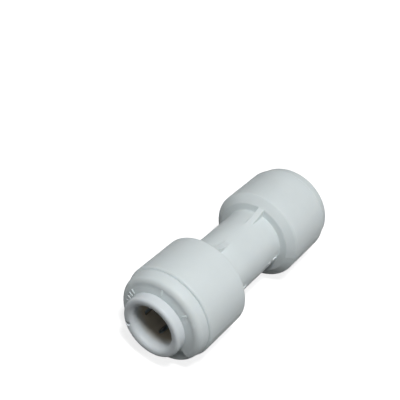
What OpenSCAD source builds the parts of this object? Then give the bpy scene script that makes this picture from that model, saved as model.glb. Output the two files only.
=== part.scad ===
// Straight push-fit coupling for 1/4 inch (6.35 mm) plastic water tube, in millimetres.
// The two ends are alike and face away from each other along X. From the middle outwards, each end holds
// an O-ring, a loose spacer washer, and a six-fingered collet with steel teeth, behind a welded end cap.
// The origin is the middle of the body, on the axis of the bore. Pushing a collet in frees its tube.

/* [Tube] */
// Outside diameter of the tube that each end takes
tube_d = 6.35; // [6.3:0.01:6.4]
// Gap between the tube and the collet's bore, on the radius
tube_gap = 0.075; // [0.05:0.005:0.1]

/* [Body] */
// Diameter of the two barrels
barrel_d = 14; // [13.8:0.1:14.6]
// Distance from the middle of the body to the seam with the end cap
seam_x = 14.85; // [14.7:0.05:15.2]
// Diameter of the waist between the barrels
waist_d = 9.4; // [9.2:0.1:9.8]
// Length of the waist
waist_l = 11.5; // [10.9:0.1:11.7]
// Diameter at which a barrel's shallow end face turns into its bevel
shoulder_d = 11.6; // [11.2:0.1:12]
// How far the shallow end face falls back from the waist to the bevel
shoulder_l = 0.12; // [0.08:0.02:0.3]
// Length of the bevel between the end face and the barrel
bevel_l = 0.95; // [0.6:0.05:1.1]
// Number of stiffening ribs around the waist, the first of them on top
rib_count = 2; // [1:1:6]
// Thickness of a rib
rib_w = 1; // [0.8:0.05:1.4]
// How far a rib's hollow top stands above the waist where it meets a barrel
rib_rise = 1.12; // [0.92:0.05:1.22]
// How far the arc of a rib's top dips below the waist, where the rib fades out
rib_dip = 0.25; // [0.1:0.05:0.3]

/* [Body bores] */
// Diameter of the water way through the middle
through_d = 4.2; // [3.8:0.1:4.4]
// Distance from the middle to the ledge that stops the tube
tube_stop_x = 2.4; // [2:0.1:3]
// Diameter of the socket that the end of the tube sits in
tube_seat_d = 6.4; // [6.38:0.01:6.44]
// Distance from the middle to the floor of the O-ring chamber
chamber_x = 7.6; // [7.5:0.05:7.6]
// Distance from the middle to the ledge under the spacer washer
washer_ledge_x = 9.6; // [9.6:0.02:9.66]
// Distance from the middle to the floor of the end cap's socket
cap_socket_x = 10.8; // [10.78:0.01:10.84]

/* [Seal] */
// Thickness of the O-ring's section
ring_section = 1.9; // [1.85:0.01:1.9]
// Inside diameter of the O-ring, smaller than the tube so that it grips
ring_bore_d = 5.9; // [5.8:0.02:5.94]
// Thickness of the spacer washer
washer_t = 1.1; // [1.0:0.02:1.12]
// Inside diameter of the spacer washer
washer_bore_d = 6.6; // [6.5:0.05:6.8]
// Outside diameter of the spacer washer
washer_d = 10.4; // [10.2:0.05:10.44]

/* [End cap] */
// Diameter of the cap at the seam
cap_d = 13.66; // [13.5:0.02:13.8]
// Length of the cap that shows outside the body
cap_l = 1.98; // [1.9:0.02:2.1]
// Taper of the cap's side, in degrees
cap_taper = 12; // [8:1:14]
// Radius of the rounded edge round the cap's face
cap_edge = 0.9; // [0.6:0.05:0.9]
// How far the cap's face rises from its rounded edge to the collet's hole
cap_rise = 0.25; // [0.2:0.01:0.27]
// Depth of the notch in the cap's rim, for a fingernail or a tool under the flange
notch_l = 0.45; // [0.3:0.05:0.6]
// Angle that the notch spans
notch_angle = 40; // [20:5:60]
// Diameter of the spigot that is welded into the body
spigot_d = 11.5; // [11.3:0.05:11.6]
// Diameter of the hole that the collet slides in
cap_bore_d = 8.3; // [8.26:0.01:8.36]
// Inside diameter of the spigot, around the collet's heads
cap_wide_d = 9.8; // [9.76:0.02:9.9]
// Distance from the middle to the start of the locking cone inside the cap
cone_x = 13.2; // [13.2:0.05:13.4]
// Length of the locking cone
cone_l = 1.8; // [1.7:0.05:1.9]
// Height of the raised marks on the cap's face
mark_h = 0.07; // [0.05:0.01:0.1]

/* [Collet] */
// Diameter of the collet's push flange
flange_d = 9.17; // [9:0.01:9.3]
// Thickness of the push flange
flange_l = 1.56; // [1.4:0.02:1.7]
// Gap between the flange and the cap's raised face when the coupling is empty
flange_gap = 0.09; // [0.09:0.01:0.2]
// Diameter of the neck that slides in the cap
neck_d = 8.1; // [8:0.02:8.16]
// Diameter across the heads at the ends of the fingers
head_d = 9.6; // [9.4:0.02:9.66]
// How far the collet can slide out before its heads meet the locking cone
lock_travel = 1.44; // [1.4:0.01:1.5]
// Distance from the middle to the tips of the fingers
finger_x = 11.35; // [11.35:0.05:11.5]
// Width of the slots between the fingers
slot_w = 0.7; // [0.5:0.05:0.75]
// Distance from the middle to the blind end of the slots
slot_end_x = 16; // [15.5:0.1:16.2]
// Radius of the rounded outer edge of the flange
flange_edge = 0.45; // [0.2:0.05:0.55]
// Radius of the rounded mouth of the bore
mouth_edge = 0.7; // [0.3:0.05:0.75]

/* [Teeth] */
// Number of fingers on a collet, and of teeth on them
tooth_count = 6; // [4:1:6]
// Width of a steel tooth
tooth_w = 1.4; // [1.2:0.05:1.6]
// Thickness of the steel
tooth_t = 0.25; // [0.2:0.01:0.28]
// How far a tooth's point reaches into the tube's space, on the radius
tooth_bite = 0.1; // [0.05:0.01:0.12]
// Angle of a tooth to the axis of the bore, in degrees
tooth_lean = 38; // [36:1:45]

/* [Hidden] */
$fn = 96;
past = 1;                   // how far a cutter runs past the faces that it opens
tube_r = tube_d / 2;
bore_r = tube_r + tube_gap;
barrel_r = barrel_d / 2;
waist_r = waist_d / 2;
shoulder_r = shoulder_d / 2;
face_x = waist_l / 2;
bevel_x = face_x + shoulder_l;
barrel_edge = 0.25;         // rounding of the barrel at the seam
root_fillet = 0.2;          // hollow fillet where the waist meets a barrel
spigot_r = spigot_d / 2;
spigot_chamfer = 0.2;
chamber_r = ring_bore_d / 2 + ring_section + 0.02;
washer_seat_r = washer_d / 2 + 0.07;

// A rib's top is an arc through its dip at the middle and its full height at the barrels.
// The rib ends inside the bevels, and starts inside the waist.
rib_end_x = bevel_x + 0.6 * bevel_l;
rib_arc_h = rib_rise + rib_dip;
rib_arc_r = (bevel_x ^ 2 + rib_arc_h ^ 2) / (2 * rib_arc_h);
rib_root_r = waist_r - 0.7;
rib_top_r = waist_r + rib_rise + 0.5;

cap_face_x = seam_x + cap_l;
cap_bore_r = cap_bore_d / 2;
cap_wide_r = cap_wide_d / 2;
cap_chamfer = 0.2;
cap_ring_x = cap_face_x + cap_rise;
cap_rim_r = cap_d / 2 - (cap_edge + (cap_l - cap_edge) * sin(cap_taper)) / cos(cap_taper);
cap_slope = atan(cap_rise / (cap_rim_r - cap_bore_r));
notch_start = 291;
cone_end_x = cone_x + cone_l;
cone_slope = (cap_wide_r - cap_bore_r) / cone_l;

// Raised marks on the cap's face: two ticks and a group of short index bars.
tick_angles = [47, 95];
tick_w = 0.25;
tick_l = 0.85;
bar_angles = [for (i = [0 : 3]) 157 + 8.5 * i];
bar_w = 0.3;
bar_l = 0.8;
mark_r = flange_d / 2 + 0.15;

flange_x = cap_ring_x + flange_gap;
mouth_x = flange_x + flange_l;
neck_r = neck_d / 2;
head_r = head_d / 2;
head_chamfer = 0.3;
relief_r = bore_r + 0.25;   // wider bore between the fingers' tips and the tube's guide
relief_end_x = 13.6;

// The heads' cone is parallel to the cap's, and stands clear of it by the lock travel.
head_end_x = cone_x + (cap_wide_r - head_r) / cone_slope - lock_travel;
neck_start_x = head_end_x + (head_r - neck_r) / cone_slope;

// A tooth is a flat tab inside the finger, and a blade that leans inwards and towards the middle.
tab_r = relief_r + 0.25;
tab_end_x = 13.45;
bend_x = 12.95;
tip_r = tube_r - tooth_bite;
blade_l = (tab_r - tip_r) / sin(tooth_lean);
along = [-cos(tooth_lean), -sin(tooth_lean)];
across = [-sin(tooth_lean), cos(tooth_lean)];
tip_bevel = 0.12;

white = "#e3e8e9";
collet_white = "#e8ecf2";
washer_white = "#f1efe6";
seal_black = "#1d1d1f";
steel = "#b9bdc2";

// The teeth are numbered around the axis, from the +Y side towards +Z.

// Turns a flat outline about X. In the outline, the first axis is the radius and the second is X.
module turned() {
    rotate([0, 90, 0])
        rotate_extrude()
            children();
}

// Every part of an end is drawn at the right, and the left end is the same part turned half round.
module at_side(side) {
    rotate([0, 0, side == "left" ? 180 : 0])
        children();
}

// Outline of a solid disc from x0 to x1 whose outer edge at x1 is rounded, with a tapered side.
module rounded_disc(r0, x0, x1, edge, taper = 0) {
    cx = x1 - edge;
    cr = r0 - (edge + (cx - x0) * sin(taper)) / cos(taper);
    polygon([
        [0, x0],
        [r0, x0],
        [cr + edge * cos(taper), cx + edge * sin(taper)],
        [cr, x1],
        [0, x1]
    ]);
    translate([cr, cx])
        circle(edge);
}

// Outline of a bore of radius r from x0 to x1.
module bore(r, x0, x1) {
    translate([0, x0])
        square([r, x1 - x0]);
}

// Outline of the right half of the body's outside.
module barrel_outline() {
    polygon([
        [0, 0],
        [waist_r, 0],
        [waist_r, face_x],
        [shoulder_r, bevel_x],
        [barrel_r, bevel_x + bevel_l],
        [0, bevel_x + bevel_l]
    ]);
    translate([0, bevel_x + bevel_l])
        rounded_disc(barrel_r, 0, seam_x - bevel_x - bevel_l, barrel_edge);
    difference() {
        translate([waist_r - 0.1, face_x - root_fillet])
            square([root_fillet + 0.1, root_fillet + shoulder_l / 2]);
        translate([waist_r + root_fillet, face_x - root_fillet])
            circle(root_fillet);
    }
}

// Outline of everything that is bored out of the right half of the body.
module barrel_bores() {
    bore(through_d / 2, -past, tube_stop_x + past);
    bore(tube_seat_d / 2, tube_stop_x, chamber_x + past);
    bore(chamber_r, chamber_x, washer_ledge_x + past);
    bore(washer_seat_r, washer_ledge_x, cap_socket_x + past);
    bore(spigot_r, cap_socket_x, seam_x + past);
}

module both_halves() {
    children();
    mirror([0, 1])
        children();
}

// One rib, along the +Y side of the waist.
module rib() {
    linear_extrude(rib_w, center = true)
        difference() {
            translate([-rib_end_x, rib_root_r])
                square([2 * rib_end_x, rib_top_r - rib_root_r]);
            translate([0, waist_r - rib_dip + rib_arc_r])
                circle(rib_arc_r);
        }
}

module body() {
    color(white) {
        turned()
            difference() {
                both_halves()
                    barrel_outline();
                both_halves()
                    barrel_bores();
            }
        for (i = [0 : rib_count - 1])
            rotate([90 + i * 360 / rib_count, 0, 0])
                rib();
    }
}

// A raised mark on the cap's sloping face, along a radius at the given angle from +Y towards +Z.
module mark(angle, width, length) {
    rotate([angle, 0, 0])
        translate([cap_face_x, cap_rim_r, 0])
            rotate([0, 0, cap_slope])
                translate([-mark_h, mark_r - cap_rim_r, -width / 2])
                    cube([2 * mark_h, length, width]);
}

// The space of the notch: a sector that is cut from the cap's face, out past its rim.
module notch() {
    steps = 8;
    translate([cap_face_x - notch_l, 0, 0])
        rotate([90, 0, 90])
            linear_extrude(cap_rise + notch_l + past)
                polygon([
                    [0, 0],
                    for (i = [0 : steps])
                        let (a = notch_start + notch_angle * i / steps)
                            (barrel_r + past) * [cos(a), sin(a)]
                ]);
}

// Outline of the cap before it is bored: the rim that shows, its sloping face, and the spigot.
module cap_outline() {
    translate([0, seam_x])
        rounded_disc(cap_d / 2, 0, cap_l, cap_edge, cap_taper);
    polygon([
        [0, cap_face_x - cap_rise],
        [cap_rim_r, cap_face_x - cap_rise],
        [cap_rim_r, cap_face_x],
        [cap_bore_r, cap_ring_x],
        [0, cap_ring_x]
    ]);
    polygon([
        [0, cap_socket_x],
        [spigot_r - spigot_chamfer, cap_socket_x],
        [spigot_r, cap_socket_x + spigot_chamfer],
        [spigot_r, seam_x],
        [0, seam_x]
    ]);
}

// Outline of what is bored out of the cap: room for the heads, the locking cone and the collet's hole.
module cap_bores() {
    polygon([
        [0, cap_socket_x - past],
        [cap_wide_r, cap_socket_x - past],
        [cap_wide_r, cone_x],
        [cap_bore_r, cone_end_x],
        [cap_bore_r, cap_ring_x - cap_chamfer],
        [cap_bore_r + cap_chamfer + past, cap_ring_x + past],
        [0, cap_ring_x + past]
    ]);
}

module end_cap(side) {
    color(white)
        at_side(side) {
            difference() {
                turned()
                    difference() {
                        cap_outline();
                        cap_bores();
                    }
                notch();
            }
            for (angle = tick_angles)
                mark(angle, tick_w, tick_l);
            for (angle = bar_angles)
                mark(angle, bar_w, bar_l);
        }
}

// Outline of the collet's wall, before the slots are cut.
module collet_outline() {
    difference() {
        union() {
            polygon([
                [0, finger_x],
                [head_r - head_chamfer, finger_x],
                [head_r, finger_x + head_chamfer],
                [head_r, head_end_x],
                [neck_r, neck_start_x],
                [neck_r, flange_x],
                [0, flange_x]
            ]);
            translate([0, flange_x])
                rounded_disc(flange_d / 2, 0, flange_l, flange_edge);
        }
        bore(bore_r, finger_x - past, mouth_x + past);
        bore(relief_r, finger_x - past, relief_end_x);
        difference() {
            bore(bore_r + mouth_edge, mouth_x - mouth_edge, mouth_x + past);
            translate([bore_r + mouth_edge, mouth_x - mouth_edge])
                circle(mouth_edge);
        }
    }
}

// A slot between two fingers on the +Y side, with a round blind end.
module slot() {
    round_x = slot_end_x - slot_w / 2;
    rotate([-90, 0, 0])
        linear_extrude(head_r + past) {
            translate([finger_x - past, -slot_w / 2])
                square([round_x - finger_x + past, slot_w]);
            translate([round_x, 0])
                circle(d = slot_w);
        }
}

// One steel tooth, on the +Y side.
module tooth_blade() {
    bend = [bend_x, tab_r];
    tip = bend + blade_l * along;
    rear_bend = bend + tooth_t * tan(tooth_lean / 2) * [-1, 0] + [0, tooth_t];
    linear_extrude(tooth_w, center = true)
        polygon([
            tip,
            bend,
            [tab_end_x, tab_r],
            [tab_end_x, tab_r + tooth_t],
            rear_bend,
            tip + tooth_t * across - tip_bevel * along
        ]);
}

module at_finger(i) {
    rotate([(i - 1) * 360 / tooth_count, 0, 0])
        children();
}

module collet(side) {
    color(collet_white)
        at_side(side)
            difference() {
                turned()
                    collet_outline();
                for (i = [1 : tooth_count]) {
                    at_finger(i + 0.5)
                        slot();
                    at_finger(i)
                        tooth_blade();
                }
            }
}

module tooth(side, i) {
    color(steel)
        at_side(side)
            at_finger(i)
                tooth_blade();
}

module o_ring(side) {
    color(seal_black)
        at_side(side)
            turned()
                translate([(ring_bore_d + ring_section) / 2, (chamber_x + washer_ledge_x) / 2])
                    circle(d = ring_section);
}

module spacer_washer(side) {
    color(washer_white)
        at_side(side)
            turned()
                translate([washer_bore_d / 2, (washer_ledge_x + cap_socket_x - washer_t) / 2])
                    square([(washer_d - washer_bore_d) / 2, washer_t]);
}

body();
for (side = ["left", "right"]) {
    end_cap(side);
    collet(side);
    o_ring(side);
    spacer_washer(side);
    for (i = [1 : tooth_count])
        tooth(side, i);
}
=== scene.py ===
import math

import bmesh
import bpy
from mathutils import Matrix, Vector


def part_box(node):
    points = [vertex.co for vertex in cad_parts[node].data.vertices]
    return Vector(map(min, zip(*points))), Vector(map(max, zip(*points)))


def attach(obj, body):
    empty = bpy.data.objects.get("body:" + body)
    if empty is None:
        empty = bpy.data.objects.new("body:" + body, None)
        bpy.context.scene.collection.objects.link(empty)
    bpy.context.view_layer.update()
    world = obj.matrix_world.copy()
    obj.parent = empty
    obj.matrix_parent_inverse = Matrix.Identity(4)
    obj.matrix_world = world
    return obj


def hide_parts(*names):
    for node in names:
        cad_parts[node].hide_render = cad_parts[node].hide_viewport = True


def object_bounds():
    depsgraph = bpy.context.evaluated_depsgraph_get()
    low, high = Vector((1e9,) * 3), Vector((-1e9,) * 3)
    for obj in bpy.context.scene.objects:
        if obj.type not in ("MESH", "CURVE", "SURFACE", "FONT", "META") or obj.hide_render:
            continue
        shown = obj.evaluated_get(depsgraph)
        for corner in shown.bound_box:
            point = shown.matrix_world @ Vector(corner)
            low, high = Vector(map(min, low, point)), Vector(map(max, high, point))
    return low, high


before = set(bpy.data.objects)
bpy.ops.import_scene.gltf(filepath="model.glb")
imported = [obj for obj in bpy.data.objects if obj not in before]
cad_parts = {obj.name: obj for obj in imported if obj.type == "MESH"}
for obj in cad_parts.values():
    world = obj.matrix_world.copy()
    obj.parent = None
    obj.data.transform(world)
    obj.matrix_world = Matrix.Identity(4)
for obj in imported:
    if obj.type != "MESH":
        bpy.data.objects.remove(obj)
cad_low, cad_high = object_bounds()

# A push-fit coupling for 1/4 inch tube: a body, and at each end a welded cap, a collet with six steel teeth, a
# loose washer and an O-ring. Lengths are millimetres, and MM turns them into the frame's metres. Outlines are
# of the right end, as points (x along the bore, r from its axis); the left end is the same pieces turned half
# round about Z. Angles go round the bore from +Y towards +Z, and are degrees where a constant holds them.
MM = 0.001
SIDES = ("left", "right")
TEETH = 6


# ---------------------------------------------------------------- sizes

def reach(node):
    """Where a node of the right end starts and ends along X, and its largest radius, in mm."""
    low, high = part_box(node)
    return low.x / MM, high.x / MM, high.z / MM


SEAM_X, BARREL_R = reach("body")[1:]
CAP_START_X, _, CAP_R = reach("right_end_cap")
FINGER_X, MOUTH_X, HEAD_R = reach("right_collet")
WASHER_START_X, WASHER_END_X, WASHER_R = reach("right_spacer_washer")
RING_START_X, RING_END_X, RING_OUTER_R = reach("right_o_ring")

# the body's outside
WAIST_R = 4.7
FACE_X = 5.75             # where a barrel's inner face meets the waist
SHOULDER = (5.87, 5.8)    # (x, r) of that face's outer edge, where the bevel starts
BEVEL_END_X = 6.82        # where the bevel reaches the barrel's full radius
ROOT_FILLET = 0.18        # round between the waist and the face

# the two ribs, on the top and the underside of the waist
RIB_HALF_W = 0.5
RIB_WALL = 0.07           # half the width over which a rib's side falls away
RIB_DIP = 0.25            # how far the arc of the top is below the waist at mid-length
RIB_FULL_X = SHOULDER[0]  # where the top is at its full height
RIB_FULL_H = 1.12         # that height, above the waist
RIB_BLEND = 0.08          # softness of the join to the waist and barrels
RIB_ZONE = 0.8            # half the width of the strip of close columns along a rib

# the fine ridge along the sides of the body where the two halves of its mould met
RIDGE_H = 0.02
RIDGE_HALF_W = 0.08
ON_SURFACE = 0.01         # a point this near to the waist's radius is on the waist

# torn flash on that ridge, on the -Y side of the waist, as (start x, end x, height)
FLASH = ((-5.2, -4.3, 0.13), (-4.0, -2.9, 0.16), (2.8, 3.45, 0.12), (3.95, 5.3, 0.15))

# the body's bores: the water way right through it, then each wider one as (radius, x of its inner end)
WATER_WAY_R = 2.1
TUBE_SEAT = (3.2, 2.4)
RING_CHAMBER = (RING_OUTER_R + 0.02, 7.6)
WASHER_SEAT = (WASHER_R + 0.07, 9.6)
CAP_SOCKET_R = 5.75

# the end cap
CAP_FACE_X = SEAM_X + 1.98        # the rim of its face
CAP_RING_X = CAP_FACE_X + 0.25    # the top of its face, round the hole
CAP_TAPER = math.radians(12)      # draft of its outside
CAP_EDGE = 0.9                    # round between the outside and the face
CAP_HOLE_EDGE = 0.25              # the strip of the face that the hole's round takes
SPIGOT_R = CAP_SOCKET_R - 0.01
CAP_WIDE_R = 4.9                  # its bore behind the locking cone, for the collet's heads
CAP_BORE_R = 4.15                 # the hole for the collet's neck
CONE = (13.2, 15.0)               # x of the locking cone's ends
NOTCH = (291, 331)                # angles between which the rim is cut away
NOTCH_X = CAP_FACE_X - 0.45       # the notch's floor

# the raised marks on the cap's face: two ticks and four index bars, each size a width and a length
TICK_ANGLES, TICK_SIZE = (47, 95), (0.25, 0.9)
BAR_ANGLES, BAR_SIZE = tuple(157 + 8.5 * i for i in range(4)), (0.3, 0.8)
MARK_R = 4.735                    # their inner ends
MARK_H = 0.06

# the collet
FLANGE_X = CAP_RING_X + 0.09      # the underside of its flange
FLANGE_R = 4.585
FLANGE_EDGE = 0.45                # round of the flange's outer edge
NECK_R = 4.05
BORE_R = 3.25
MOUTH_EDGE = 0.7                  # round of the mouth
RELIEF = (3.5, 13.6)              # wider bore behind the teeth, and where it ends
HEAD_CONE = (12.0, 13.8)          # x of the ends of the cone on the fingers' heads
SLOT_W = 0.7
SLOT_END_X = 16.0

# the pit that the mould's gate leaves on the collet's face: part of a ball, centred just off the face
GATE_R, GATE_ANGLE = 3.95, 209
GATE_BALL_R = 0.38
GATE_OFF_FACE = 0.05

# painted shade: the collet's colour is darkened inside its bore, where shade falls, fading in over these radii and
# this stretch of x
SHADE_R = (3.45, 3.6)
SHADE_X = (16.2, 17.6)

# a steel tooth: a tab inside the finger, and a blade that leans inwards
TAB_R = 3.75
TAB_END_X = 13.45
BEND_X = 12.95
BEND_INNER_R = 0.02
TIP_R = 3.075
TIP_BEVEL = 0.12
TOOTH_LEAN = math.radians(38)
TOOTH_T = 0.25
TOOTH_W = 1.4

# the loose washer's bore, and the line that its mould leaves inside and outside an O-ring
WASHER_BORE_R = 3.3
RING_LINE_H = 0.015

# the studio: soft boxes as (azimuth, elevation, width, watts), the sky, and the floor's whiteness to the eye
FLOOR_Z = cad_low.z / MM
LAMP_DISTANCE = 280
KEY = (216, 69, 56, 0.44)
FILLS = ((262, 40, 90, 0.11), (315, 15, 90, 0.04), (115, 15, 90, 0.07))
SKY = 0.19
HORIZON = 0.05                    # half the height over which the sky fades out at the horizon
FLOOR_HALF = 2000
FLOOR_GLOW = 0.75

# the camera: the point that it aims at, its direction from there and roll in degrees, distance and lens
CAMERA_AIM = (1.09, 7.64, 5.37)
CAMERA_AZIMUTH, CAMERA_ELEVATION, CAMERA_ROLL = -61.79, 40.43, 12.87
CAMERA_DISTANCE = 118.45
CAMERA_LENS, CAMERA_SENSOR = 73.47, 36


# ---------------------------------------------------------------- mesh tools

ARC_STEP = math.radians(12)    # the most that an outline's arc turns from one point to the next
LATHE_SIDES = 144              # columns of a cap and a collet
SEAL_SIDES = 128               # columns of an O-ring and a washer


def rounded(corners, spacing=0.6, near=0.05):
    """A closed outline through corners (x, r, radius). Each corner becomes an arc of its radius, and each
    straight stretch has a point near its two ends and one every spacing, so that smooth shading stays flat."""
    bends = []
    for i, (x, r, radius) in enumerate(corners):
        here = Vector((x, r))
        back = (Vector(corners[i - 1][:2]) - here).normalized()
        ahead = (Vector(corners[(i + 1) % len(corners)][:2]) - here).normalized()
        half = back.angle(ahead) / 2
        centre = here + (back + ahead).normalized() * radius / math.sin(half)
        first = here + back * radius / math.tan(half) - centre
        last = here + ahead * radius / math.tan(half) - centre
        steps = max(1, math.ceil((math.pi - 2 * half) / ARC_STEP)) if radius else 0
        sweep = first.angle_signed(last) if radius else 0
        bends.append([centre + Matrix.Rotation(-sweep * k / max(steps, 1), 2) @ first for k in range(steps + 1)])
    outline = []
    for i, bend in enumerate(bends):
        start, end = bend[-1], bends[(i + 1) % len(bends)][0]
        length = (end - start).length
        inner = [near, length - near] if length > 3 * near else []
        pieces = math.ceil(length / spacing)
        inner += [length * k / pieces for k in range(1, pieces)]
        outline += bend + [start.lerp(end, d / length) for d in sorted(inner)]
    return [(p.x, p.y) for p in outline]


def even(count):
    """Angles round the bore for a plain turned piece."""
    return lambda r: [2 * math.pi * k / count for k in range(count)]


def lathe(outline, angles, shape=None):
    """A bmesh of a closed outline turned about X, in metres. angles(r) lists the columns, and
    shape(x, r, angle), if given, moves a point to another radius and angle."""
    bm = bmesh.new()
    rings = []
    for x, r in outline:
        ring = []
        for angle in angles(r):
            out, turn = shape(x, r, angle) if shape else (r, angle)
            ring.append(bm.verts.new((x * MM, out * math.cos(turn) * MM, out * math.sin(turn) * MM)))
        rings.append(ring)
    columns = len(rings[0])
    for i, ring in enumerate(rings):
        before = rings[i - 1]
        for k in range(columns):
            j = (k + 1) % columns
            bm.faces.new((before[k], before[j], ring[j], ring[k]))
    bmesh.ops.recalc_face_normals(bm, faces=bm.faces)
    return bm


def prism(points, low, high, place):
    """A bmesh solid: a flat outline of (x, y) points, in mm, raised from z = low to high and then placed."""
    bm = bmesh.new()
    floor = [bm.verts.new(Vector((x, y, low)) * MM) for x, y in points]
    roof = [bm.verts.new(Vector((x, y, high)) * MM) for x, y in points]
    bm.faces.new(floor)
    bm.faces.new(roof)
    for k in range(len(points)):
        j = (k + 1) % len(points)
        bm.faces.new((floor[k], floor[j], roof[j], roof[k]))
    bmesh.ops.recalc_face_normals(bm, faces=bm.faces)
    bm.transform(place)
    return bm


def as_object(name, bm):
    """Turns a bmesh into an object in the scene, and frees it."""
    mesh = bpy.data.meshes.new(name)
    bm.to_mesh(mesh)
    bm.free()
    obj = bpy.data.objects.new(name, mesh)
    bpy.context.scene.collection.objects.link(obj)
    return obj


def combine(obj, tools, operation):
    """Adds or cuts tools, a list of bmesh solids, with an exact boolean that is applied."""
    for bm in tools:
        tool = as_object("tool", bm)
        modifier = obj.modifiers.new("combine", "BOOLEAN")
        modifier.operation = operation
        modifier.solver = "EXACT"
        modifier.object = tool
        apply_modifiers(obj)
        bpy.data.objects.remove(tool)


def apply_modifiers(obj):
    """Makes the result of an object's modifiers its mesh."""
    evaluated = obj.evaluated_get(bpy.context.evaluated_depsgraph_get())
    mesh = bpy.data.meshes.new_from_object(evaluated)
    obj.modifiers.clear()
    obj.data = mesh


def soften(obj, width, from_deg=40):
    """Rounds the edges that are sharper than the angle, in degrees."""
    bevel = obj.modifiers.new("edges", "BEVEL")
    bevel.width = width * MM
    bevel.segments = 3
    bevel.angle_limit = math.radians(from_deg)
    apply_modifiers(obj)


def smooth(obj, sharp_deg=40):
    """Smooth shading, with the edges that are sharper than the angle, in degrees, left crisp."""
    obj.data.shade_smooth()
    obj.data.set_sharp_from_angle(angle=math.radians(sharp_deg))


# lays a prism down, so that it is drawn in (y, z) and rises along X
ALONG_X = Matrix(((0, 0, 1, 0), (1, 0, 0, 0), (0, 1, 0, 0), (0, 0, 0, 1)))


def round_x(degrees):
    """A turn about the bore's axis."""
    return Matrix.Rotation(math.radians(degrees), 4, "X")


def to_side(side):
    """Takes a piece from the right end to its side."""
    return Matrix.Rotation(math.pi if side == "left" else 0, 4, "Z")


# ---------------------------------------------------------------- materials

def new_material(name):
    """A material with its nodes, its links and its shader."""
    material = bpy.data.materials.new(name)
    material.use_nodes = True
    nodes, links = material.node_tree.nodes, material.node_tree.links
    return material, nodes, links, nodes["Principled BSDF"]


def noise(nodes, links, coords, scale, detail=3.0, rough=0.5):
    """The value of a noise texture; scale is features per metre."""
    node = nodes.new("ShaderNodeTexNoise")
    node.inputs["Scale"].default_value = scale
    node.inputs["Detail"].default_value = detail
    node.inputs["Roughness"].default_value = rough
    links.new(coords, node.inputs["Vector"])
    return node.outputs["Fac"]


def ramp(nodes, links, value, low, high, dark, light):
    """Maps value from low..high to a number from dark to light, and holds it there outside."""
    node = nodes.new("ShaderNodeMapRange")
    node.inputs["From Min"].default_value = low
    node.inputs["From Max"].default_value = high
    node.inputs["To Min"].default_value = dark
    node.inputs["To Max"].default_value = light
    links.new(value, node.inputs["Value"])
    return node.outputs["Result"]


def blend(nodes, links, share, first, second):
    """A colour between first and second, each a constant or a socket, by a share from 0 to 1."""
    node = nodes.new("ShaderNodeMix")
    node.data_type = "RGBA"
    links.new(share, node.inputs["Factor"])
    for socket, colour in ((node.inputs["A"], first), (node.inputs["B"], second)):
        if isinstance(colour, tuple):
            socket.default_value = (*colour, 1)
        else:
            links.new(colour, socket)
    return node.outputs["Result"]


def bump(nodes, links, height, depth_mm, strength, under=None):
    """The normal of a relief, laid over the normal under, if given."""
    node = nodes.new("ShaderNodeBump")
    node.inputs["Strength"].default_value = strength
    node.inputs["Distance"].default_value = depth_mm * MM
    links.new(height, node.inputs["Height"])
    if under:
        links.new(under, node.inputs["Normal"])
    return node.outputs["Normal"]


def object_coords(nodes):
    return nodes.new("ShaderNodeTexCoord").outputs["Object"]


def bore_shade_mask(nodes, links, coords):
    """The share of painted shade in a collet's colour: 0 outside it and at its mouth, rising to 1 inside its bore.
    """
    split = nodes.new("ShaderNodeSeparateXYZ")
    links.new(coords, split.inputs["Vector"])
    across = nodes.new("ShaderNodeCombineXYZ")
    links.new(split.outputs["Y"], across.inputs["Y"])
    links.new(split.outputs["Z"], across.inputs["Z"])
    radius = nodes.new("ShaderNodeVectorMath")
    radius.operation = "LENGTH"
    links.new(across.outputs["Vector"], radius.inputs[0])
    along = nodes.new("ShaderNodeMath")
    along.operation = "ABSOLUTE"
    links.new(split.outputs["X"], along.inputs[0])
    both = nodes.new("ShaderNodeMath")
    both.operation = "MULTIPLY"
    for value, (low, high), socket in ((radius, SHADE_R, both.inputs[0]), (along, SHADE_X, both.inputs[1])):
        links.new(ramp(nodes, links, value.outputs["Value"], low * MM, high * MM, 1, 0), socket)
    return both.outputs["Value"]


def moulded_white(name, colour, shade, rough, soft, inside=None):
    """Satin injection-moulded white plastic: faint flow mottling, a fine spark-eroded grain, a roughness
    that wanders a little, and edges rubbed lighter by handling. A collet also has painted shade, a dark warm
    colour, inside its bore."""
    material, nodes, links, shader = new_material(name)
    coords = object_coords(nodes)
    flow = noise(nodes, links, coords, 260, 4, 0.55)
    mottled = blend(nodes, links, ramp(nodes, links, flow, 0.35, 0.65, 0, 1), shade, colour)
    edges = nodes.new("ShaderNodeNewGeometry").outputs["Pointiness"]
    surface_colour = blend(nodes, links, ramp(nodes, links, edges, 0.52, 0.6, 0, 0.7), mottled,
                      tuple(min(1, c * 1.08) for c in colour))
    # painted shade: inside a collet's bore the colour turns to a dark warm brown, standing in for the shade there
    if inside:
        surface_colour = blend(nodes, links, bore_shade_mask(nodes, links, coords), surface_colour, inside)
    links.new(surface_colour, shader.inputs["Base Color"])
    wander = noise(nodes, links, coords, 900, 3, 0.6)
    links.new(ramp(nodes, links, wander, 0.3, 0.7, rough - 0.05, rough + 0.06), shader.inputs["Roughness"])
    grain = noise(nodes, links, coords, 6500, 2, 0.5)
    swirl = noise(nodes, links, coords, 420, 2, 0.4)
    long_waves = bump(nodes, links, swirl, 0.02, 0.25)
    links.new(bump(nodes, links, grain, 0.006, 0.3, long_waves), shader.inputs["Normal"])
    shader.inputs["IOR"].default_value = 1.49
    shader.inputs["Specular IOR Level"].default_value = 0.4
    shader.inputs["Subsurface Weight"].default_value = soft
    shader.inputs["Subsurface Radius"].default_value = (1.0, 0.85, 0.7)
    shader.inputs["Subsurface Scale"].default_value = 0.25 * MM
    return material


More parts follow.
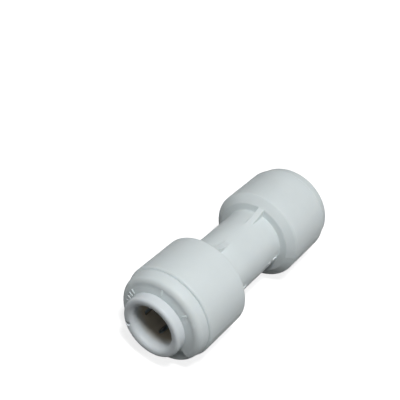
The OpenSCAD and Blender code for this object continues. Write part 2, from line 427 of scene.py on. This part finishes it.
def black_rubber():
    """Moulded EPDM: near black, dull, with a fine grain and a thin film of grease in patches."""
    material, nodes, links, shader = new_material("black_rubber")
    coords = object_coords(nodes)
    bloom = noise(nodes, links, coords, 700, 4, 0.6)
    patches = ramp(nodes, links, bloom, 0.4, 0.7, 0, 1)
    links.new(blend(nodes, links, patches, (0.012, 0.012, 0.013), (0.03, 0.03, 0.031)), shader.inputs["Base Color"])
    film = noise(nodes, links, coords, 450, 2, 0.5)
    links.new(ramp(nodes, links, film, 0.45, 0.6, 0.6, 0.28), shader.inputs["Roughness"])
    links.new(bump(nodes, links, noise(nodes, links, coords, 9000, 2, 0.5), 0.005, 0.4), shader.inputs["Normal"])
    shader.inputs["IOR"].default_value = 1.52
    return material


def stamped_steel():
    """Stainless strip, rolled one way: fine lines along the tube and a slightly uneven sheen."""
    material, nodes, links, shader = new_material("stamped_steel")
    coords = object_coords(nodes)
    stretch = nodes.new("ShaderNodeMapping")
    stretch.inputs["Scale"].default_value = (1, 14, 14)
    links.new(coords, stretch.inputs["Vector"])
    lines = noise(nodes, links, stretch.outputs["Vector"], 1500, 3, 0.6)
    links.new(blend(nodes, links, lines, (0.52, 0.52, 0.53), (0.7, 0.7, 0.71)), shader.inputs["Base Color"])
    links.new(ramp(nodes, links, lines, 0.3, 0.7, 0.22, 0.38), shader.inputs["Roughness"])
    links.new(bump(nodes, links, lines, 0.004, 0.35), shader.inputs["Normal"])
    shader.inputs["Metallic"].default_value = 1.0
    return material


WHITE, WHITE_SHADE = (0.765, 0.825, 0.835), (0.74, 0.80, 0.81)

MATERIALS = {
    "body_white": moulded_white("body_white", WHITE, WHITE_SHADE, 0.42, 0.12),
    "cap_white": moulded_white("cap_white", WHITE, WHITE_SHADE, 0.42, 0.12),
    # the collet's last colour is painted shade, a dark warm brown inside its bore
    "collet_white": moulded_white("collet_white", (0.765, 0.815, 0.84), (0.745, 0.795, 0.82), 0.36, 0.12,
                                  (0.58, 0.52, 0.43)),
    "washer_white": moulded_white("washer_white", (0.84, 0.83, 0.78), (0.82, 0.81, 0.76), 0.45, 0.1),
    "seal_black": black_rubber(),
    "tooth_steel": stamped_steel(),
}


def hand_over(obj, node, body, slot):
    """Finishes a piece: it stands for its CAD node, rides on its body and takes its slot's material."""
    obj.data.materials.clear()
    obj.data.materials.append(MATERIALS[slot])
    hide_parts(node)
    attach(obj, body)


# ---------------------------------------------------------------- body

def rib_top(x):
    """Height of a rib's hollow top above the axis: an arc that dips below the waist at mid-length."""
    rise = RIB_FULL_H + RIB_DIP
    radius = (RIB_FULL_X ** 2 + rise ** 2) / (2 * rise)
    return WAIST_R - RIB_DIP + radius - math.sqrt(max(radius ** 2 - x ** 2, 0))


def soft_rise(height):
    """max(height, 0) with a soft corner at 0."""
    near = max(RIB_BLEND - abs(height), 0) / RIB_BLEND
    return max(height, 0) + near ** 2 * RIB_BLEND / 4


def flash(x):
    """Height of the torn flash at x: each scrap stands up from one end to the other with a ragged crest."""
    for start, end, height in FLASH:
        if start < x < end:
            share = (x - start) / (end - start)
            ends = min(1, 5 * share, 5 * (1 - share))
            ragged = 0.8 + 0.2 * math.sin(17 * x)
            return height * ends * ragged
    return 0


def outside(x, r, angle):
    """Raises the outside of the body into the ribs, which have soft sides and roots, and the mould's ridge."""
    if r < WAIST_R - ON_SURFACE:
        return r, angle
    off_ridge = abs(r * math.sin(angle))
    if off_ridge < RIDGE_HALF_W:
        torn = flash(x) if math.cos(angle) < 0 and r < WAIST_R + ON_SURFACE else 0
        return r + (RIDGE_H + torn) * (1 - off_ridge / RIDGE_HALF_W), angle
    if abs(x) > BEVEL_END_X:
        return r, angle
    middle = math.copysign(math.pi / 2, math.sin(angle))
    across, up = r * math.sin(angle - middle), r * math.cos(angle - middle)
    fall = min(max((abs(across) - RIB_HALF_W + RIB_WALL) / (2 * RIB_WALL), 0), 1)
    up += (1 - fall * fall * (3 - 2 * fall)) * soft_rise(rib_top(x) - up)
    return math.hypot(across, up), middle + math.atan2(across, up)


def body_columns(r):
    """Angles with close columns along the ribs and the ridges, a fixed distance apart, and even ones between."""
    ridge = [RIDGE_HALF_W * k / 2 for k in range(3)]
    rib_wall = [RIB_HALF_W + RIB_WALL * (k - 4) / 4 for k in range(9)]
    strips = (ridge, [0, 0.16, 0.32] + rib_wall + [RIB_ZONE])
    between = 22
    found = []
    for quarter in range(4):
        here, ahead = strips[quarter % 2], strips[(quarter + 1) % 2]
        start = quarter * math.pi / 2
        found += [start + math.asin(d / r) for d in here]
        low, high = start + math.asin(here[-1] / r), start + math.pi / 2 - math.asin(ahead[-1] / r)
        found += [low + (high - low) * k / between for k in range(1, between)]
        found += [start + math.pi / 2 - math.asin(d / r) for d in ahead[:0:-1]]
    return found


def mirrored(half):
    """The whole outline from its right half, whose corners start at the middle and end there."""
    return half + [(-x, r, radius) for x, r, radius in reversed(half)]


def make_body():
    """The two barrels and the waist, with the ribs, the mould's ridge and the stepped bore."""
    seat_r, stop_x = TUBE_SEAT
    chamber_r, chamber_x = RING_CHAMBER
    washer_r, ledge_x = WASHER_SEAT
    outline = rounded(mirrored([
        (FACE_X, WAIST_R, ROOT_FILLET),
        (*SHOULDER, 0.3),
        (BEVEL_END_X, BARREL_R, 0.3),
        (SEAM_X, BARREL_R, 0.35),
        (SEAM_X, CAP_SOCKET_R, 0.05),
        (CAP_START_X, CAP_SOCKET_R, 0.08),
        (CAP_START_X, washer_r, 0.05),
        (ledge_x, washer_r, 0.08),
        (ledge_x, chamber_r, 0.1),
        (chamber_x, chamber_r, 0.2),
        (chamber_x, seat_r, 0.15),
        (stop_x, seat_r, 0.15),
        (stop_x, WATER_WAY_R, 0.1),
    ]), spacing=0.2)
    body = as_object("coupling_body", lathe(outline, body_columns, outside))
    smooth(body)
    hand_over(body, "body", "housing", "body_white")


# ---------------------------------------------------------------- end caps

# the corner where the cap's tapered outside would meet its face, and where the face starts inside its round
CAP_CORNER_R = CAP_R - (CAP_FACE_X - SEAM_X) * math.tan(CAP_TAPER)
CAP_RIM_R = CAP_CORNER_R - CAP_EDGE * math.tan(math.pi / 4 - CAP_TAPER / 2)


def face_rise(r):
    """How far the cap's hollow face stands above its rim, which it meets level."""
    share = (CAP_RIM_R - r) / (CAP_RIM_R - CAP_BORE_R)
    return (CAP_RING_X - CAP_FACE_X) * share ** 1.6


def mark(angle, width, length):
    """A raised mark on the cap's face, with rounded ends, along a radius."""
    corner, root = width * 0.45, -0.15
    points = []
    for cx, cy, start in ((length - corner, width / 2 - corner, 0), (corner, width / 2 - corner, 90),
                          (corner, corner - width / 2, 180), (length - corner, corner - width / 2, 270)):
        for k in range(4):
            a = math.radians(start + 30 * k)
            points.append((cx + corner * math.cos(a), cy + corner * math.sin(a)))
    rise = face_rise(MARK_R)
    slope = math.atan(rise / (CAP_RIM_R - MARK_R))
    at_mark = Matrix.Translation(Vector((CAP_FACE_X + rise, MARK_R, 0)) * MM)
    place = round_x(angle) @ at_mark @ Matrix.Rotation(slope, 4, "Z") @ ALONG_X
    return prism(points, root, MARK_H, place)


def notch():
    """The space of the notch in the cap's rim: a sector, from inside the hole to outside the rim."""
    inner, outer = CAP_BORE_R - 1, CAP_R + 1
    start, end = NOTCH
    turns = [math.radians(start + (end - start) * k / 10) for k in range(11)]
    points = [(outer * math.cos(a), outer * math.sin(a)) for a in turns]
    points += [(inner * math.cos(a), inner * math.sin(a)) for a in reversed(turns)]
    return prism(points, NOTCH_X, CAP_RING_X + 1, ALONG_X)


def make_cap(side):
    """The welded end cap, with its hollow face, its marks and its notch."""
    face_start_r = CAP_BORE_R + CAP_HOLE_EDGE
    face = [face_start_r + (CAP_RIM_R - CAP_BORE_R - CAP_HOLE_EDGE) * k / 7 for k in range(7)]
    outline = rounded([
        (CAP_START_X, CAP_WIDE_R, 0.1),
        (CONE[0], CAP_WIDE_R, 0.2),
        (CONE[1], CAP_BORE_R, 0.2),
        (CAP_RING_X, CAP_BORE_R, 0.2),
        *[(CAP_FACE_X + face_rise(r), r, 0) for r in face],
        (CAP_FACE_X, CAP_CORNER_R, CAP_EDGE),
        (SEAM_X, CAP_R, 0.25),
        (SEAM_X, SPIGOT_R, 0.05),
        (CAP_START_X, SPIGOT_R, 0.2),
    ], spacing=0.5)
    cap = as_object(f"{side}_cap", lathe(outline, even(LATHE_SIDES)))
    marks = [mark(a, *TICK_SIZE) for a in TICK_ANGLES] + [mark(a, *BAR_SIZE) for a in BAR_ANGLES]
    combine(cap, marks, "UNION")
    combine(cap, [notch()], "DIFFERENCE")
    soften(cap, 0.04)
    cap.data.transform(to_side(side))
    smooth(cap)
    hand_over(cap, f"{side}_end_cap", "housing", "cap_white")


# ---------------------------------------------------------------- collets and teeth

def slot_cutter(index):
    """The space between two fingers, with a round blind end. It starts well inside the bore."""
    half, inner_r = SLOT_W / 2, 1.5
    bend = [math.radians(-90 + 180 * k / 12) for k in range(13)]
    points = [(FINGER_X - 1, -half)]
    points += [(SLOT_END_X - half + half * math.cos(a), half * math.sin(a)) for a in bend]
    points += [(FINGER_X - 1, half)]
    return prism(points, inner_r, HEAD_R + 1, round_x((index + 0.5) * 360 / TEETH - 90))


def gate_pit():
    """The ball that cuts the pit of the mould's gate."""
    bm = bmesh.new()
    bmesh.ops.create_icosphere(bm, subdivisions=3, radius=GATE_BALL_R * MM)
    at_gate = Matrix.Translation(Vector((MOUTH_X + GATE_OFF_FACE, GATE_R, 0)) * MM)
    bm.transform(round_x(GATE_ANGLE) @ at_gate)
    return bm


def make_collet(side):
    """The push flange, the neck and the six fingers with their heads."""
    relief_r, relief_x = RELIEF
    outline = rounded([
        (FINGER_X, relief_r, 0.1),
        (relief_x, relief_r, 0.05),
        (relief_x, BORE_R, 0.08),
        (MOUTH_X, BORE_R, MOUTH_EDGE),
        (MOUTH_X, FLANGE_R, FLANGE_EDGE),
        (FLANGE_X, FLANGE_R, 0.1),
        (FLANGE_X, NECK_R, 0.12),
        (HEAD_CONE[1], NECK_R, 0.3),
        (HEAD_CONE[0], HEAD_R, 0.1),
        (FINGER_X, HEAD_R, 0.3),
    ], spacing=0.5)
    collet = as_object(f"{side}_push_collet", lathe(outline, even(LATHE_SIDES)))
    combine(collet, [slot_cutter(i) for i in range(TEETH)] + [gate_pit()], "DIFFERENCE")
    collet.data.transform(to_side(side))
    smooth(collet)
    hand_over(collet, f"{side}_collet", f"{side}_release_collet", "collet_white")


def make_tooth(side, number):
    """A stamped blade: a flat strip with a rounded bend and a bevelled, sharp tip."""
    lean = Vector((-math.cos(TOOTH_LEAN), -math.sin(TOOTH_LEAN)))
    through = Vector((-lean.y, lean.x))
    bend = Vector((BEND_X, TAB_R))
    tip = bend + lean * (TAB_R - TIP_R) / math.sin(TOOTH_LEAN)
    inner, outer = [tip], [tip + through * TOOTH_T - lean * TIP_BEVEL]
    for k in range(7):
        turn = TOOTH_LEAN * (1 - k / 6)
        inner.append(bend + Vector((-math.sin(turn), math.cos(turn) - 1)) * BEND_INNER_R)
        outer.append(bend + Vector((-math.sin(turn), math.cos(turn))) * TOOTH_T)
    inner.append(Vector((TAB_END_X, TAB_R)))
    outer.append(Vector((TAB_END_X, TAB_R + TOOTH_T)))
    points = [tuple(p) for p in inner + outer[::-1]]
    upright = Matrix.Rotation(math.pi / 2, 4, "X")
    tooth = as_object(f"{side}_steel_tooth_{number}", prism(points, -TOOTH_W / 2, TOOTH_W / 2, upright))
    soften(tooth, 0.02)
    tooth.data.transform(to_side(side) @ round_x((number - 1) * 360 / TEETH - 90))
    smooth(tooth, 25)
    hand_over(tooth, f"{side}_tooth_{number}", f"{side}_release_collet", "tooth_steel")


# ---------------------------------------------------------------- seals

def make_o_ring(side):
    """A round-section ring with the fine line that its mould leaves inside and out."""
    middle_x, section = (RING_START_X + RING_END_X) / 2, (RING_END_X - RING_START_X) / 2
    middle_r = RING_OUTER_R - section
    outline = []
    for k in range(40):
        a = 2 * math.pi * k / 40
        line = max(0, abs(math.sin(a)) - 1 + RING_LINE_H)
        radius = section - RING_LINE_H + line
        outline.append((middle_x + radius * math.cos(a), middle_r + radius * math.sin(a)))
    ring = as_object(f"{side}_seal_ring", lathe(outline, even(SEAL_SIDES)))
    ring.data.transform(to_side(side))
    smooth(ring, 60)
    hand_over(ring, f"{side}_o_ring", "housing", "seal_black")


def make_washer(side):
    """The loose spacer washer between the O-ring and the collet."""
    edge = 0.15
    outline = rounded([
        (WASHER_START_X, WASHER_BORE_R, edge),
        (WASHER_START_X, WASHER_R, edge),
        (WASHER_END_X, WASHER_R, edge),
        (WASHER_END_X, WASHER_BORE_R, edge),
    ], spacing=0.5)
    washer = as_object(f"{side}_loose_washer", lathe(outline, even(SEAL_SIDES)))
    washer.data.transform(to_side(side))
    smooth(washer)
    hand_over(washer, f"{side}_spacer_washer", f"{side}_washer", "washer_white")


# ---------------------------------------------------------------- stage

def make_floor():
    """A plain pale floor. It looks white, takes a soft shadow and shows in the plastic's sheen, and throws
    no light back up."""
    half = FLOOR_HALF * MM
    bm = bmesh.new()
    corners = [(-half, -half), (half, -half), (half, half), (-half, half)]
    bm.faces.new([bm.verts.new((x, y, FLOOR_Z * MM)) for x, y in corners])
    floor = as_object("floor", bm)
    material, nodes, links, shader = new_material("floor_pale")
    shader.inputs["Base Color"].default_value = (0.6, 0.6, 0.6, 1)
    shader.inputs["Roughness"].default_value = 1.0
    shader.inputs["Specular IOR Level"].default_value = 0.0
    shader.inputs["Emission Color"].default_value = (1, 1, 1, 1)
    seen = nodes.new("ShaderNodeLightPath").outputs["Is Camera Ray"]
    links.new(ramp(nodes, links, seen, 0, 1, 0, FLOOR_GLOW), shader.inputs["Emission Strength"])
    floor.data.materials.append(material)
    floor.visible_diffuse = False


def make_world():
    """A dim even sky above the horizon, and a white one for the camera."""
    world = bpy.data.worlds.new("studio")
    bpy.context.scene.world = world
    world.use_nodes = True
    nodes, links = world.node_tree.nodes, world.node_tree.links
    direction = nodes.new("ShaderNodeTexCoord").outputs["Generated"]
    split = nodes.new("ShaderNodeSeparateXYZ")
    links.new(direction, split.inputs["Vector"])
    seen = nodes.new("ShaderNodeBackground")
    seen.inputs["Strength"].default_value = 1.0
    lit = nodes["Background"]
    links.new(ramp(nodes, links, split.outputs["Z"], -HORIZON, HORIZON, 0, SKY), lit.inputs["Strength"])
    lit.inputs["Color"].default_value = (0.97, 1.0, 1.0, 1)
    path = nodes.new("ShaderNodeLightPath")
    choose = nodes.new("ShaderNodeMixShader")
    links.new(path.outputs["Is Camera Ray"], choose.inputs["Fac"])
    links.new(lit.outputs["Background"], choose.inputs[1])
    links.new(seen.outputs["Background"], choose.inputs[2])
    links.new(choose.outputs["Shader"], nodes["World Output"].inputs["Surface"])


def make_lamp(name, azimuth, elevation, width, watts):
    """A round soft box aimed at the middle of the part. Azimuth is from +X towards +Y."""
    turn, rise = math.radians(azimuth), math.radians(elevation)
    towards = Vector((math.cos(turn) * math.cos(rise), math.sin(turn) * math.cos(rise), math.sin(rise)))
    light = bpy.data.lights.new(name, "AREA")
    light.shape = "DISK"
    light.size = width * MM
    light.energy = watts
    lamp = bpy.data.objects.new(name, light)
    lamp.location = towards * LAMP_DISTANCE * MM
    lamp.rotation_mode = "QUATERNION"
    lamp.rotation_quaternion = towards.to_track_quat("Z", "Y")
    bpy.context.scene.collection.objects.link(lamp)


def make_camera():
    """The camera. At azimuth 0 and elevation 0 it looks along +Y, with +X to the right."""
    azimuth, elevation = math.radians(CAMERA_AZIMUTH), math.radians(CAMERA_ELEVATION)
    roll = Matrix.Rotation(math.radians(CAMERA_ROLL), 3, "Z").to_quaternion()
    back = Vector((math.sin(azimuth) * math.cos(elevation), -math.cos(azimuth) * math.cos(elevation),
                   math.sin(elevation)))
    data = bpy.data.cameras.new("camera")
    data.sensor_width = CAMERA_SENSOR
    data.lens = CAMERA_LENS
    data.clip_start, data.clip_end = 1 * MM, 10
    camera = bpy.data.objects.new("camera", data)
    camera.rotation_mode = "QUATERNION"
    camera.rotation_quaternion = back.to_track_quat("Z", "Y") @ roll
    camera.location = (Vector(CAMERA_AIM) + back * CAMERA_DISTANCE) * MM
    bpy.context.scene.collection.objects.link(camera)
    bpy.context.scene.camera = camera


make_camera()
make_world()
make_lamp("key", *KEY)
for number, fill in enumerate(FILLS, 1):
    make_lamp(f"fill_{number}", *fill)
make_floor()
make_body()
for side in SIDES:
    make_cap(side)
    make_collet(side)
    make_o_ring(side)
    make_washer(side)
    for number in range(1, TEETH + 1):
        make_tooth(side, number)

bpy.context.scene.view_settings.view_transform = "Standard"
